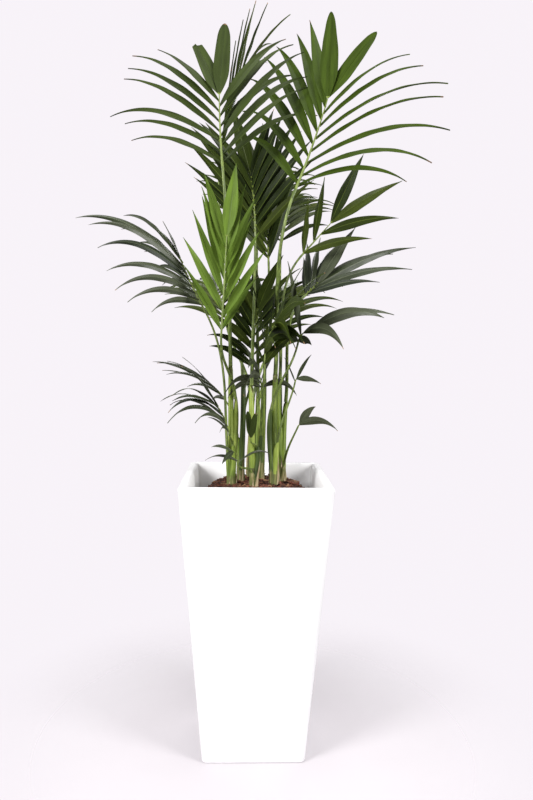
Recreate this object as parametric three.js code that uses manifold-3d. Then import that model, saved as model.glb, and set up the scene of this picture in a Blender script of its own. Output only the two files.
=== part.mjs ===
// A kentia palm in a tapered square planter, in millimetres, +Z up and -Y to the front.
// The origin is the centre of the planter's flat underside.
// Seven canes stand in the potting mix. A cane is a bundle of leaf sheaths, each sheath
// carries one leaf stalk, and each stalk carries one frond. Pieces that touch on the real
// plant lie a hairline apart here.
import * as THREE from "three";
import Module from "manifold-3d";

const wasm = await Module();
wasm.setup();

// ---- Driving sizes ----
const SEAT = 0.3; // the gap between two pieces that touch
const PLANTER = { height: 760, top: 400, foot: 278, wall: 25, floor: 20, corner: 14, round: 8 };
const MIX = { crown: 735, crownHalf: 104, shoulder: 720, shoulderHalf: 126, edge: 676 };
const CANE = { sides: 6, steps: 3, foot: 8.4, neck: 7, gather: 4.5, open: 10.5 };
const STALK = { sides: 5, steps: 6, rise: 0.38, finish: 0.36, slim: 2.6, perReach: 0.009, taper: 0.6 };
const RIB = { sides: 3, steps: 4, share: 0.95, tip: 1.6 };
const LEAFLET = { steps: 24, root: 0.16, full: 0.36, taper: 0.44, sharp: 1.6, ridge: 1 / 75 };
const STATIONS = { root: 0, between: [8, 16], outer: 3 }; // where a leaflet's solid is cut
const VARIETY = { angle: 7, length: 0.12, lift: 0.06, droop: 0.3, stagger: 0.25 };
const ROLL = 24; // degrees, so that neighbouring leaflets lie like slats
const END = { fork: 0.4, sharp: 3, droop: 0.6, roll: 0.3 }; // a frond's last pair
const CLEAR = 1; // the least room round a leaflet

const UP = new THREE.Vector3(0, 0, 1);
const DOWN = new THREE.Vector3(0, 0, -1);

const TONES = { deep: 0x33502a, mid: 0x4f7431, fresh: 0x86a444, cool: 0x4d6057 };

// Each cane's foot on the potting mix.
const CANES = {
  left_front: [-68, -22],
  left_rear: [-42, 34],
  middle_front: [-6, -46],
  middle_rear: [14, 48],
  right_front: [50, -24],
  right_rear: [74, 26],
  rear: [-14, 88],
};

// One entry a frond. cane and sheath: the cane that it grows from and its sheath's height.
// collar and crest: where the blade begins and where its rib ends. arch: how far the rib bows
// up, as a share of its length. face: the way that the blade's upper side looks. pairs:
// leaflets a side. spread: their angle from the rib at the collar and at the crest, in degrees.
// lean: how much wider one side opens than the other. reach: the longest leaflet, with first,
// last and end its shares at the collar, before the crest and at the crest. uneven: how much
// longer one side's leaflets are than the mean. lift: how far leaflets rise out of the blade's
// plane. droop: how far they bend down. wide: their width. broad: the last pair's, as a share
// of it. fork: how wide the last pair opens, as a share of its spread, where it isn't the
// usual. tone: their green. seed: its own small irregularities.
const FRONDS = {
  upper_left: {
    cane: "left_front", sheath: 330, collar: [-93, -137, 1563], crest: [-103, -121, 1745],
    arch: -0.04, face: [-0.19, 0.9, 0.35], pairs: 8, spread: [50, 34], lean: 5, reach: 327,
    uneven: -0.12, first: 0.88, last: 0.57, end: 0.5, lift: 0.08, droop: 0.98, wide: 23,
    broad: 1.6, tone: "deep", seed: 25,
  },
  upper_right: {
    cane: "right_front", sheath: 310, collar: [92, -124, 1515], crest: [175, -77, 1758],
    arch: -0.03, face: [0.53, 0.62, 0.26], pairs: 8, spread: [57, 29], lean: -5, reach: 397,
    uneven: 0.08, first: 0.84, last: 0.54, end: 0.54, lift: -0.02, droop: 0.9, wide: 32,
    broad: 1.45, fork: 0.65, tone: "mid", seed: 12,
  },
  top_rear: {
    cane: "left_rear", sheath: 300, collar: [-107, 92, 1646], crest: [-54, 125, 1889],
    arch: 0.06, face: [0.86, 0.06, 0.48], pairs: 7, spread: [33, 20], lean: 1, reach: 315,
    uneven: 0.13, first: 0.88, last: 0.73, end: 0.81, lift: 0, droop: 0.94, wide: 16,
    broad: 1.3, tone: "deep", seed: 3,
  },
  near_left: {
    cane: "left_front", sheath: 240, collar: [-93, -153, 1144], crest: [-81, -152, 1390],
    arch: 0.1, face: [0.03, 0.9, 0.3], pairs: 7, spread: [30, 9], lean: 1, reach: 222,
    uneven: 0.03, first: 0.9, last: 0.9, end: 0.86, lift: 0.25, droop: 0.49, wide: 28,
    broad: 1.2, tone: "fresh", seed: 7,
  },
  left: {
    cane: "left_front", sheath: 80, collar: [-145, -57, 1218], crest: [-204, -78, 1344],
    arch: -0.04, face: [0.51, -0.24, 0.74], pairs: 8, spread: [51, 17], lean: 3, reach: 251,
    uneven: -0.06, first: 0.72, last: 1.3, end: 0.46, lift: -0.32, droop: 1.15, wide: 20,
    broad: 1.2, tone: "cool", seed: 17,
  },
  low_left: {
    cane: "left_rear", sheath: 130, collar: [-86, 43, 961], crest: [-136, 32, 1014],
    arch: 0.08, face: [0.09, -0.08, 0.97], pairs: 5, spread: [54, -4], lean: -5, reach: 190,
    uneven: -0.1, first: 0.58, last: 1.06, end: 0.64, lift: -0.08, droop: 0.76, wide: 14,
    broad: 1.1, tone: "cool", seed: 27,
  },
  lowest_left: {
    cane: "left_front", sheath: 110, collar: [-73, -65, 881], crest: [-102, -107, 957],
    arch: 0.12, face: [0.34, -0.07, 0.79], pairs: 5, spread: [28, -10], lean: -1, reach: 212,
    uneven: -0.02, first: 0.36, last: 0.84, end: 1.08, lift: -0.36, droop: 1.47, wide: 13,
    broad: 1.1, tone: "cool", seed: 38,
  },
  right: {
    cane: "right_rear", sheath: 290, collar: [119, -12, 1365], crest: [201, 21, 1459],
    arch: 0, face: [-0.28, -0.77, 0.49], pairs: 3, spread: [36, 39], lean: 3, reach: 229,
    uneven: -0.03, first: 0.84, last: 1, end: 1.01, lift: 0.11, droop: 0.49, wide: 30,
    broad: 1.1, tone: "deep", seed: 47,
  },
  mid_right: {
    cane: "right_rear", sheath: 230, collar: [129, -27, 1256], crest: [163, -3, 1289],
    arch: -0.03, face: [-0.34, -0.77, 0.53], pairs: 5, spread: [37, 15], lean: -7, reach: 300,
    uneven: 0.1, first: 0.64, last: 0.56, end: 0.63, lift: 0.09, droop: 0.61, wide: 26,
    broad: 1.4, tone: "cool", seed: 7,
  },
  low_right: {
    cane: "right_front", sheath: 210, collar: [107, -83, 1128], crest: [136, -91, 1161],
    arch: 0.3, face: [-0.52, -0.72, 0.42], pairs: 3, spread: [64, 12], lean: -2, reach: 188,
    uneven: 0, first: 0.3, last: 0.79, end: 1.24, lift: 0.38, droop: 1.43, wide: 30,
    broad: 1.1, tone: "cool", seed: 53,
  },
  centre: {
    cane: "middle_rear", sheath: 290, collar: [31, 66, 1357], crest: [27, 128, 1545],
    arch: -0.07, face: [-0.08, -0.89, 0.3], pairs: 9, spread: [27, 4], lean: -5, reach: 262,
    uneven: 0.05, first: 0.99, last: 0.8, end: 0.8, lift: 0.14, droop: 0.15, wide: 30,
    broad: 1.2, tone: "deep", seed: 5,
  },
  upper_middle: {
    cane: "middle_front", sheath: 280, collar: [-8, 10, 1400], crest: [-24, 50, 1600],
    arch: 0.1, face: [0.1, -0.9, 0.4], pairs: 8, spread: [42, 22], lean: 0, reach: 270,
    uneven: 0, first: 0.9, last: 0.8, end: 0.7, lift: 0.05, droop: 0.5, wide: 31,
    broad: 1.2, tone: "deep", seed: 12,
  },
  inner_left: {
    cane: "left_rear", sheath: 190, collar: [-10, 30, 1050], crest: [0, 20, 1220],
    arch: 0.05, face: [0.3, -0.8, 0.5], pairs: 7, spread: [50, 26], lean: 0, reach: 190,
    uneven: 0.12, first: 0.9, last: 0.8, end: 0.8, lift: 0.1, droop: 1.1, wide: 27,
    broad: 1.1, tone: "deep", seed: 13,
  },
  inner_right: {
    cane: "middle_front", sheath: 200, collar: [20, -60, 1060], crest: [52, -115, 1185],
    arch: 0.3, face: [-0.6, -0.4, 0.6], pairs: 7, spread: [50, 34], lean: 0, reach: 200,
    uneven: 0, first: 0.9, last: 0.8, end: 1, lift: 0, droop: 1.3, wide: 30,
    broad: 1.4, tone: "deep", seed: 14,
  },
  upper_rear: {
    cane: "middle_rear", sheath: 240, collar: [0, 170, 1450], crest: [10, 330, 1640],
    arch: 0.1, face: [0, -0.7, 0.7], pairs: 11, spread: [46, 14], lean: 0, reach: 300,
    uneven: 0, first: 0.7, last: 0.8, end: 0.7, lift: 0.05, droop: 1, wide: 20,
    broad: 1.6, tone: "deep", seed: 15,
  },
  rear_right: {
    cane: "rear", sheath: 230, collar: [50, 190, 1150], crest: [100, 345, 1290],
    arch: 0.15, face: [-0.2, -0.6, 0.7], pairs: 9, spread: [52, 16], lean: 0, reach: 260,
    uneven: 0, first: 0.7, last: 0.8, end: 0.9, lift: 0.05, droop: 1, wide: 22,
    broad: 1.6, tone: "deep", seed: 16,
  },
  rear_left: {
    cane: "rear", sheath: 260, collar: [-90, 170, 1180], crest: [-130, 325, 1300],
    arch: 0.15, face: [0.2, -0.6, 0.7], pairs: 9, spread: [52, 16], lean: 0, reach: 250,
    uneven: 0, first: 0.7, last: 0.8, end: 0.9, lift: 0.05, droop: 1, wide: 22,
    broad: 1.6, tone: "deep", seed: 17,
  },
  upper_rear_right: {
    cane: "right_rear", sheath: 180, collar: [70, 160, 1420], crest: [85, 310, 1570],
    arch: 0.15, face: [-0.1, -0.6, 0.7], pairs: 10, spread: [50, 16], lean: 0, reach: 230,
    uneven: 0, first: 0.7, last: 0.8, end: 0.8, lift: 0.05, droop: 1, wide: 20,
    broad: 1.6, tone: "deep", seed: 18,
  },
  low_middle: {
    cane: "middle_rear", sheath: 130, collar: [14, 0, 1000], crest: [4, -22, 1045],
    arch: 0.2, face: [0, -0.5, 0.8], pairs: 4, spread: [60, 20], lean: 0, reach: 150,
    uneven: 0, first: 0.8, last: 0.9, end: 0.9, lift: -0.1, droop: 2.4, wide: 25,
    broad: 1.1, tone: "cool", seed: 19,
  },
  short_right: {
    cane: "right_front", sheath: 120, collar: [102, -64, 1022], crest: [105, -71, 1031],
    arch: 0.15, face: [-0.32, -0.68, 0.22], pairs: 2, spread: [51, 46], lean: 6, reach: 98,
    uneven: 0.04, first: 0.79, last: 0.9, end: 1.06, lift: -0.08, droop: 0.89, wide: 12,
    broad: 1.2, tone: "cool", seed: 43,
  },
  seedling_right: {
    cane: "right_rear", sheath: 45, collar: [113, -52, 901], crest: [116, -55, 906],
    arch: 0.1, face: [-0.2, -0.95, 0.16], pairs: 1, spread: [40, 34], lean: 1, reach: 120,
    uneven: 0.25, first: 1, last: 1, end: 1.04, lift: 0.1, droop: 1.72, wide: 15,
    broad: 1.4, tone: "cool", seed: 33,
  },
  seedling_left: {
    cane: "middle_front", sheath: 40, collar: [-47, -98, 809], crest: [-60, -111, 840],
    arch: 0.41, face: [0.43, -0.4, 0.72], pairs: 2, spread: [56, 55], lean: -8, reach: 92,
    uneven: 0.01, first: 1.14, last: 1, end: 0.82, lift: -0.08, droop: 1.19, wide: 11,
    broad: 1.3, tone: "cool", seed: 36,
  },
  young: {
    cane: "middle_front", sheath: 110, collar: [-15, -75, 864], crest: [-15, -78, 872],
    arch: 0, face: [0, 1, 0.2], pairs: 1, spread: [20, 20], lean: 0, reach: 76,
    uneven: 0, first: 1, last: 1, end: 1, lift: 0, droop: 0.2, wide: 12,
    broad: 1.3, tone: "deep", seed: 22,
  },
};

// ---- Plain geometry ----
const vec = (list) => new THREE.Vector3(...list);

// A repeatable draw of numbers from 0 to 1.
function dealer(seed) {
  let state = seed >>> 0;
  return () => {
    state = (state + 0x6d2b79f5) >>> 0;
    let mixed = Math.imul(state ^ (state >>> 15), state | 1);
    mixed ^= mixed + Math.imul(mixed ^ (mixed >>> 7), mixed | 61);
    return ((mixed ^ (mixed >>> 14)) >>> 0) / 4294967296;
  };
}

// A solid from rings of points, each ring with the same count, closed at both ends. A last
// ring of one point makes a tip.
function skin(rings) {
  const points = rings.flat();
  const count = rings[0].length;
  const faces = [];
  rings.slice(1).forEach((ring, r) => {
    const low = r * count;
    const high = low + count;
    for (let i = 0; i < count; i++) {
      const j = (i + 1) % count;
      if (ring.length === 1) faces.push(low + i, low + j, high);
      else faces.push(low + i, low + j, high + j, low + i, high + j, high + i);
    }
  });
  const cap = (start, flip) => {
    for (let i = 1; i < count - 1; i++)
      faces.push(...(flip ? [start, start + i + 1, start + i] : [start, start + i, start + i + 1]));
  };
  cap(0, true);
  if (rings.at(-1).length > 1) cap((rings.length - 1) * count, false);
  return new wasm.Manifold(
    new wasm.Mesh({
      numProp: 3,
      vertProperties: Float32Array.from(points.flatMap((p) => [p.x, p.y, p.z])),
      triVerts: Uint32Array.from(faces),
    }),
  );
}

// A tapering limb along a curve.
function limb(curve, thick, thin, sides, steps) {
  const { normals, binormals } = curve.computeFrenetFrames(steps, false);
  const rings = Array.from({ length: steps + 1 }, (_, s) => {
    const centre = curve.getPointAt(s / steps);
    const radius = THREE.MathUtils.lerp(thick, thin, s / steps);
    return Array.from({ length: sides }, (_, k) => {
      const turn = (2 * Math.PI * k) / sides;
      return centre
        .clone()
        .addScaledVector(normals[s], radius * Math.cos(turn))
        .addScaledVector(binormals[s], radius * Math.sin(turn));
    });
  });
  return skin(rings);
}

// A square ring with rounded corners, lying level.
function squareRing(half, corner, z) {
  const perCorner = 4;
  const ring = [];
  for (let quarter = 0; quarter < 4; quarter++)
    for (let i = 0; i < perCorner; i++) {
      const turn = (Math.PI / 2) * (quarter + i / (perCorner - 1));
      const side = (Math.PI / 2) * (quarter + 0.5);
      const inset = (half - corner) * Math.SQRT2;
      ring.push(
        new THREE.Vector3(
          inset * Math.cos(side) + corner * Math.cos(turn),
          inset * Math.sin(side) + corner * Math.sin(turn),
          z,
        ),
      );
    }
  return ring;
}

// ---- The planter and its mix ----
const outerHalf = (z) => THREE.MathUtils.lerp(PLANTER.foot, PLANTER.top, z / PLANTER.height) / 2;
const innerHalf = (z) => outerHalf(z) - PLANTER.wall;

function planter() {
  const { height, floor, corner, round } = PLANTER;
  const inner = corner / 2;
  const edge = height - round;
  const rings = [
    squareRing(outerHalf(0) - round / 2, corner, 0),
    squareRing(outerHalf(round / 2), corner, round / 2),
    squareRing(outerHalf(edge), corner, edge),
  ];
  // The rim is rounded over its outer and its inner edge.
  for (const turn of [30, 60, 90]) {
    const angle = THREE.MathUtils.degToRad(turn);
    const half = outerHalf(height) - round * (1 - Math.cos(angle));
    rings.push(squareRing(half, corner, edge + round * Math.sin(angle)));
  }
  for (const turn of [90, 60, 30]) {
    const angle = THREE.MathUtils.degToRad(turn);
    const half = innerHalf(height) + round * (1 - Math.cos(angle));
    rings.push(squareRing(half, inner, edge + round * Math.sin(angle)));
  }
  rings.push(squareRing(innerHalf(edge), inner, edge));
  rings.push(squareRing(innerHalf(floor), inner, floor));
  return skin(rings);
}

function pottingMix() {
  const { crown, crownHalf, shoulder, shoulderHalf, edge } = MIX;
  const corner = PLANTER.corner / 2;
  const bed = PLANTER.floor + SEAT;
  return skin([
    squareRing(innerHalf(bed) - SEAT, corner, bed),
    squareRing(innerHalf(edge) - SEAT, corner, edge),
    squareRing(shoulderHalf, shoulderHalf * 0.8, shoulder),
    squareRing(crownHalf, crownHalf * 0.9, crown),
  ]);
}

// ---- Canes and stalks ----
// The sheaths of one cane stand evenly round its middle. The lowest faces its own frond, and
// each taller one takes the free place that faces its frond best.
function sheathTurns(cane) {
  const [x, y] = CANES[cane];
  const bearing = ({ collar }) => Math.atan2(collar[1] - y, collar[0] - x);
  const own = Object.entries(FRONDS).filter(([, frond]) => frond.cane === cane);
  own.sort(([, a], [, b]) => a.sheath - b.sheath);
  const first = bearing(own[0][1]);
  const free = own.map((_, place) => first + (2 * Math.PI * place) / own.length);
  return own.map(([name, frond]) => {
    free.sort((a, b) => Math.cos(b - bearing(frond)) - Math.cos(a - bearing(frond)));
    return [name, free.shift()];
  });
}

const beside = (cane, turn, distance, z) =>
  new THREE.Vector3(
    CANES[cane][0] + distance * Math.cos(turn),
    CANES[cane][1] + distance * Math.sin(turn),
    z,
  );

// The way that a stalk leaves its sheath: between straight up and straight at its frond.
const leaning = (from, collar) => collar.clone().sub(from).normalize().add(UP).normalize();

// The paths of one frond's sheath, stalk and rib.
function paths(name, turn) {
  const frond = FRONDS[name];
  const foot = beside(frond.cane, turn, CANE.gather, MIX.crown + SEAT);
  const neck = beside(frond.cane, turn, CANE.open, MIX.crown + frond.sheath);
  const collar = vec(frond.collar);
  const crest = vec(frond.crest);
  const away = leaning(neck, collar);
  const third = frond.sheath / 3;
  const sheath = new THREE.CubicBezierCurve3(
    foot,
    foot.clone().addScaledVector(UP, third),
    neck.clone().addScaledVector(away, -third),
    neck,
  );
  const axis = crest.clone().sub(collar);
  const bow = UP.clone().projectOnPlane(axis.clone().normalize());
  if (bow.length() > 0.05) bow.setLength(frond.arch * axis.length());
  const middle = collar.clone().lerp(crest, 0.5).add(bow);
  const heading = middle.clone().sub(collar).normalize();
  const start = neck.clone().addScaledVector(away, SEAT);
  const length = start.distanceTo(collar);
  const stalk = new THREE.CubicBezierCurve3(
    start,
    start.clone().addScaledVector(away, STALK.rise * length),
    collar.clone().addScaledVector(heading, -STALK.finish * length),
    collar,
  );
  const ribStart = collar.clone().addScaledVector(heading, SEAT);
  const rib = new THREE.QuadraticBezierCurve3(ribStart, middle, crest);
  return { sheath, stalk, rib };
}

const stalkThick = (frond) => STALK.slim + STALK.perReach * frond.reach;
const stalkThin = (frond) => stalkThick(frond) * STALK.taper;

// ---- Fronds ----
// A leaflet's share of its frond's longest, from the collar (0) to the crest (1).
function lengthShare(frond, along) {
  const longest = 0.45;
  if (along < longest)
    return frond.first + (1 - frond.first) * Math.sin(((along / longest) * Math.PI) / 2);
  return 1 - (1 - frond.last) * ((along - longest) / (1 - longest)) ** 1.5;
}

// Every leaflet of a frond: its root, heading, length, width and droop, by a seeded rule.
function leaflets(frond, rib) {
  const draw = dealer(frond.seed);
  const face = vec(frond.face).normalize();
  const list = [];
  for (let pair = 0; pair < frond.pairs; pair++)
    for (const side of [-1, 1]) {
      const isEnd = pair === frond.pairs - 1;
      const along = frond.pairs > 1 ? pair / (frond.pairs - 1) : 1;
      const step = side * (VARIETY.stagger / Math.max(1, frond.pairs - 1));
      const place = 0.05 + 0.95 * THREE.MathUtils.clamp(along + (pair && !isEnd ? step : 0), 0, 1);
      const forward = rib.getTangent(place);
      const across = forward.clone().cross(face).normalize();
      const up = across.clone().cross(forward);
      const [a, b, c, d] = [draw(), draw(), draw(), draw()];
      const fork = isEnd ? (frond.fork ?? END.fork) : 1;
      const angle = THREE.MathUtils.lerp(...frond.spread, along) * fork;
      const share = isEnd ? frond.end : lengthShare(frond, along) * (1 + (b - 0.5) * VARIETY.length);
      list.push({
        root: rib.getPoint(place),
        forward,
        across: across.multiplyScalar(side),
        up,
        angle: angle + (a - 0.5) * VARIETY.angle + side * frond.lean,
        sharp: isEnd ? END.sharp : LEAFLET.sharp,
        lift: frond.lift * (0.6 + 0.8 * c) + (c - 0.5) * VARIETY.lift,
        droop: frond.droop * (1 + (d - 0.5) * VARIETY.droop) * (isEnd ? END.droop : 1),
        length: frond.reach * share * (1 + side * frond.uneven),
        width: frond.wide * (0.8 + 0.3 * along) * (isEnd ? frond.broad : 1),
        roll: THREE.MathUtils.degToRad(side * ROLL * (isEnd ? END.roll : 1)),
      });
    }
  return list;
}

// How a leaflet may give way to a neighbour: lift, angle and length.
const GIVES = [
  [0, 0, 1],
  [0.14, 0, 1],
  [-0.14, 0, 1],
  [0, 6, 1],
  [0, -6, 1],
  [0.3, 0, 0.95],
  [-0.3, 0, 0.95],
  [0.14, 7, 0.8],
  [-0.14, -7, 0.8],
  [0.1, 0, 0.65],
  [-0.1, 0, 0.65],
  [0, 0, 0.5],
];

// A leaflet's middle line: it bends to the ground along its length, and most where it starts
// out level.
function middleLine(leaflet, [lift, angle, share]) {
  const turn = THREE.MathUtils.degToRad(leaflet.angle + angle);
  const heading = leaflet.forward
    .clone()
    .multiplyScalar(Math.cos(turn))
    .addScaledVector(leaflet.across, Math.sin(turn))
    .addScaledVector(leaflet.up, leaflet.lift + lift)
    .normalize();
  const bend = leaflet.droop * Math.hypot(heading.x, heading.y);
  const step = (leaflet.length * share) / LEAFLET.steps;
  const line = [leaflet.root.clone()];
  for (let s = 0; s < LEAFLET.steps; s++) {
    const t = (s + 0.5) / LEAFLET.steps;
    const way = heading.clone().addScaledVector(DOWN, bend * t ** 1.6).normalize();
    line.push(line[s].clone().addScaledVector(way, step));
  }
  return line;
}

// A leaflet's width along its length, as a share of its widest.
function widthShare(t, sharp) {
  const { root, full, taper } = LEAFLET;
  if (t < full) return root + (1 - root) * Math.sin(((t / full) * Math.PI) / 2);
  return t < taper ? 1 : 1 - ((t - taper) / (1 - taper)) ** sharp;
}

// A leaflet as a thin blade with a raised fold along its middle, from station start to its
// tip, grown by margin all round.
function blade(leaflet, line, margin = 0, start = STATIONS.root) {
  const high = LEAFLET.ridge * leaflet.length;
  const rings = [start, ...STATIONS.between].map((s) => {
    const way = line[s + 1].clone().sub(line[Math.max(0, s - 1)]).normalize();
    const side = way.clone().cross(leaflet.up).normalize().applyAxisAngle(way, leaflet.roll);
    const top = side.clone().cross(way);
    const half = (leaflet.width / 2) * widthShare(s / LEAFLET.steps, leaflet.sharp) + margin;
    const base = line[s].clone().addScaledVector(top, -margin);
    return [
      base.clone().addScaledVector(side, half),
      base.clone().addScaledVector(side, -half),
      base.clone().addScaledVector(top, high * (1 - (0.4 * s) / LEAFLET.steps) + 2 * margin),
    ];
  });
  const last = line.at(-1);
  const tip = last.clone().sub(line.at(-2)).setLength(margin).add(last);
  return skin([...rings, [tip]]);
}

const boxOf = (solid) => {
  const { min, max } = solid.boundingBox();
  return new THREE.Box3(vec(min), vec(max));
};
const placed = (solid, owner) => ({ solid, owner, box: boxOf(solid) });
const meets = (one, other) =>
  one.box.intersectsBox(other.box) && one.solid.intersect(other.solid).volume() > 0;

// One frond: its rib with every leaflet that finds room. A leaflet keeps clear of all that
// other fronds have in place, and past its root of its own frond's leaflets too.
function frondSolid(name, rib, ribSolid, inPlace) {
  const parts = [ribSolid];
  const others = inPlace.filter((piece) => piece.owner !== name);
  const outers = [];
  for (const leaflet of leaflets(FRONDS[name], rib)) {
    const found = GIVES.map((give) => middleLine(leaflet, give)).find((line) => {
      const whole = placed(blade(leaflet, line, CLEAR));
      const outer = placed(blade(leaflet, line, CLEAR / 2, STATIONS.outer));
      return !others.some((o) => meets(whole, o)) && !outers.some((o) => meets(outer, o));
    });
    if (!found) continue;
    parts.push(blade(leaflet, found));
    outers.push(placed(blade(leaflet, found, 0, STATIONS.outer)));
  }
  inPlace.push(...parts.slice(1).map((part) => placed(part, name)));
  return wasm.Manifold.union(parts);
}

// ---- The object ----
const object = new THREE.Group();

function add(name, solid, color, roughness) {
  const mesh = solid.getMesh();
  const positions = [];
  for (let i = 0; i < mesh.numVert; i++)
    positions.push(...mesh.vertProperties.subarray(i * mesh.numProp, i * mesh.numProp + 3));
  const geometry = new THREE.BufferGeometry();
  geometry.setAttribute("position", new THREE.Float32BufferAttribute(positions, 3));
  geometry.setIndex([...mesh.triVerts]);
  geometry.computeVertexNormals();
  const material = new THREE.MeshStandardMaterial({ color, roughness, metalness: 0 });
  const piece = new THREE.Mesh(geometry, material);
  piece.name = name;
  object.add(piece);
}

const pot = planter();
const mix = pottingMix();
add("planter", pot, 0xf3f0f3, 0.35);
add("potting_mix", mix, 0x5d3a30, 0.95);

const inPlace = [placed(pot), placed(mix)];
const ribs = {};
for (const cane of Object.keys(CANES)) {
  const sheaths = sheathTurns(cane).map(([name, turn]) => {
    const frond = FRONDS[name];
    const { sheath, stalk, rib } = paths(name, turn);
    const thick = stalkThick(frond);
    const stem = limb(stalk, thick, stalkThin(frond), STALK.sides, STALK.steps);
    const ribSolid = limb(rib, stalkThin(frond) * RIB.share, RIB.tip, RIB.sides, RIB.steps);
    ribs[name] = { rib, ribSolid };
    inPlace.push(placed(stem), placed(ribSolid, name));
    add("stalk_" + name, stem, 0x8e9f4b, 0.5);
    return limb(sheath, CANE.foot, Math.max(CANE.neck, thick + 1), CANE.sides, CANE.steps);
  });
  const whole = wasm.Manifold.union(sheaths);
  inPlace.push(placed(whole));
  add("cane_" + cane, whole, 0x93a04c, 0.6);
}

for (const [name, frond] of Object.entries(FRONDS)) {
  const { rib, ribSolid } = ribs[name];
  const solid = frondSolid(name, rib, ribSolid, inPlace);
  add("frond_" + name, solid, TONES[frond.tone], 0.5);
}

export default object;
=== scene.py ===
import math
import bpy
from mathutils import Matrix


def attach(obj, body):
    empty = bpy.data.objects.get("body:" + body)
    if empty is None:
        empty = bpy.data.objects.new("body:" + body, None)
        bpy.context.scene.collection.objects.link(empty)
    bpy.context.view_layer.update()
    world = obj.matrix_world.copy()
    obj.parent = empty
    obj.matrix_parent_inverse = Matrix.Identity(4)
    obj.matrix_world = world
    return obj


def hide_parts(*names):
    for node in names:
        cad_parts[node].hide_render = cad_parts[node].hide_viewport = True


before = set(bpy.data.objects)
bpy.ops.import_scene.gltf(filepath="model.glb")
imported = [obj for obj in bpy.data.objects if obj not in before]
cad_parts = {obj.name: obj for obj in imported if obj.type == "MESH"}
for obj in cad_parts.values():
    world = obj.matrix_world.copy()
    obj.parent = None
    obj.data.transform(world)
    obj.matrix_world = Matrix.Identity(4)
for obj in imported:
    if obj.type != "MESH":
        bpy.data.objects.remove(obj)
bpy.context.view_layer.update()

# The dressed kentia palm: finer leaflets, stalks, sheaths, mix and planter over the packed
# solids. Lengths are in millimetres until a mesh is made, +Z up and -Y to the front.
from types import SimpleNamespace as Named

import bpy
import numpy as np
from mathutils import Matrix, Vector, noise
from mathutils.bvhtree import BVHTree

MM = 0.001
UP = np.array([0.0, 0.0, 1.0])

# ---- The plant's own sizes, as in the part's source ----
SEAT = 0.3
PLANTER = Named(height=760, top=400, foot=278, wall=25, floor=20, corner=14, round=8)
MIX = Named(crown=735, crown_half=104, shoulder=720, shoulder_half=126, edge=676)
CANE = Named(foot=8.4, neck=7, gather=4.5, open=10.5)
STALK = Named(rise=0.38, finish=0.36, slim=2.6, per_reach=0.009, taper=0.6)
RIB = Named(bare=0.05, tip=1.6)  # bare: the rib's share below its first leaflets
LEAFLET = Named(steps=24, stations=(8, 16), root=0.16, full=0.36, taper=0.44, ridge=1 / 75,
                flatten=0.4, bend=1.6)
WIDTHS = (0.8, 1.1)  # a leaflet's width at the collar and at the crest, as a share of wide
VARIETY = Named(angle=7, length=0.12, arch=0.8, lift=0.06, droop=0.3, stagger=0.25)
ROLL = 24
END = Named(fork=0.4, droop=0.6, roll=0.3)
LONGEST = 0.45  # where along a frond its longest leaflets grow

CANES = {
    "left_front": (-68, -22),
    "left_rear": (-42, 34),
    "middle_front": (-6, -46),
    "middle_rear": (14, 48),
    "right_front": (50, -24),
    "right_rear": (74, 26),
    "rear": (-14, 88),
}

# The source's own values. In order: a frond's cane, its sheath's length, where its blade begins
# (collar), where its rib ends (crest), the way its top looks (face) and how far its rib bows
# (arch). spread: the leaflets' angle from the rib at the collar and at the crest. reach: the
# longest leaflet. broad and fork: the last pair's width and opening, as shares of the usual.
def grow(cane, sheath, collar, crest, face, arch, **more):
    """A frond with its own values over the usual ones."""
    collar, crest, face = (np.array(point, float) for point in (collar, crest, face))
    usual = dict(lean=0, uneven=0, tone="deep", fork=END.fork)
    return Named(cane=cane, sheath=sheath, collar=collar, crest=crest, face=face, arch=arch,
                 **{**usual, **more})


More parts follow.
